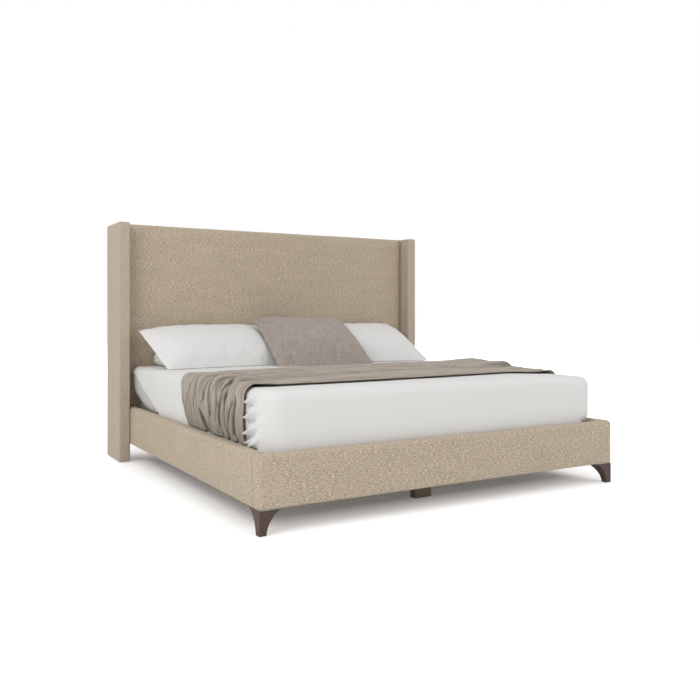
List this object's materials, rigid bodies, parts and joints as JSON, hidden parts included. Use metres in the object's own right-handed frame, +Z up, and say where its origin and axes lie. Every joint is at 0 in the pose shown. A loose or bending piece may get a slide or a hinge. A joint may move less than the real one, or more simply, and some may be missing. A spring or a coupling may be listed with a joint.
{
  "type": "upholstered bed",
  "caption": "Upholstered wing bed with a tall plain headboard, low padded rails, slat base, mattress, pillows, cushion and throw.",
  "frame": {"origin": "on the floor under the middle of the bed's bounding box", "axes": "+Z up, +Y from the foot of the bed to its head, +X to the right seen from the foot"},
  "size_m": [2.264, 2.2704, 1.508],
  "materials": {
    "upholstery": "slubby woven beige",
    "wing_upholstery": "slubby woven beige",
    "foam": "open-cell upholstery foam",
    "plywood": "raw plywood",
    "fibreboard": "raw fibreboard",
    "back_cloth": "black lining cloth",
    "pine": "sawn softwood",
    "foot_wood": "dark stained hardwood",
    "leg_wood": "dark stained timber",
    "felt": "dense felt",
    "glide_plastic": "moulded black plastic",
    "zinc_steel": "zinc plated",
    "bracket_steel": "zinc plated sheet",
    "mattress_foam": "springs and foam",
    "ticking": "knitted ticking",
    "sheet_cotton": "smooth cotton",
    "cover_cotton": "washed cotton, padded",
    "pillow_cotton": "washed cotton",
    "cushion_linen": "taupe linen",
    "throw_knit": "taupe wool knit"
  },
  "bodies": {
    "bed_frame": {"beam_hanger_foot": "bracket_steel", "beam_hanger_head": "bracket_steel", "centre_beam": "pine", "centre_leg_front": "leg_wood", "centre_leg_middle": "leg_wood", "centre_leg_rear": "leg_wood", "centre_leg_pads": "felt", "centre_leg_screws": "zinc_steel", "corner_blocks": "pine", "foot_glides": "glide_plastic", "foot_plates": "bracket_steel", "foot_rail_board": "pine", "foot_rail_foam": "foam", "foot_rail_cover": "upholstery", "foot_studs": "zinc_steel", "frame_bolts": "zinc_steel", "front_foot_left": "foot_wood", "front_foot_right": "foot_wood", "hanger_screws": "zinc_steel", "head_brackets": "bracket_steel", "headboard_back_cloth": "back_cloth", "headboard_blocks": "pine", "headboard_cover": "upholstery", "headboard_face_board": "fibreboard", "headboard_foam": "foam", "headboard_plank_bottom": "pine", "headboard_plank_middle": "pine", "headboard_plank_top": "pine", "headboard_stile_left": "pine", "headboard_stile_right": "pine", "left_rail_board": "pine", "left_rail_foam": "foam", "left_rail_cover": "upholstery", "right_rail_board": "pine", "right_rail_foam": "foam", "right_rail_cover": "upholstery", "plate_screws": "zinc_steel", "side_cleats": "pine", "slats": "pine", "slat_screws": "zinc_steel", "wing_bolts": "zinc_steel", "wing_core_left": "plywood", "wing_core_right": "plywood", "wing_cover_left": "wing_upholstery", "wing_cover_right": "wing_upholstery", "wing_foam_left": "foam", "wing_foam_right": "foam", "wing_glides": "glide_plastic"},
    "mattress": {"mattress_core": "mattress_foam", "mattress_cover_upper": "ticking", "mattress_cover_lower": "ticking", "fitted_sheet": "sheet_cotton", "bed_cover": "cover_cotton"},
    "back_pillow_left": {"pillow_back_left": "pillow_cotton"},
    "back_pillow_right": {"pillow_back_right": "pillow_cotton"},
    "front_pillow_left": {"pillow_front_left": "pillow_cotton"},
    "front_pillow_right": {"pillow_front_right": "pillow_cotton"},
    "cushion": {"throw_cushion": "cushion_linen"},
    "throw": {"throw": "throw_knit"}
  },
  "joints": [
    {"name": "mattress_lift", "type": "slide", "parent": "bed_frame", "child": "mattress", "axis": [0, 0, 1], "range_m": [0, 1.25]},
    {"name": "back_pillow_left_lift", "type": "slide", "parent": "mattress", "child": "back_pillow_left", "axis": [0, 0, 1], "range_m": [0, 0.95]},
    {"name": "back_pillow_right_lift", "type": "slide", "parent": "back_pillow_left", "child": "back_pillow_right", "axis": [0, 0, 1], "range_m": [0, 0.95]},
    {"name": "front_pillow_left_lift", "type": "slide", "parent": "back_pillow_right", "child": "front_pillow_left", "axis": [0, 0, 1], "range_m": [0, 0.95]},
    {"name": "front_pillow_right_lift", "type": "slide", "parent": "front_pillow_left", "child": "front_pillow_right", "axis": [0, 0, 1], "range_m": [0, 0.95]},
    {"name": "cushion_lift", "type": "slide", "parent": "front_pillow_right", "child": "cushion", "axis": [0, 0, 1], "range_m": [0, 0.95]},
    {"name": "throw_lift", "type": "slide", "parent": "mattress", "child": "throw", "axis": [0, 0, 1], "range_m": [0, 1.2]}
  ]
}
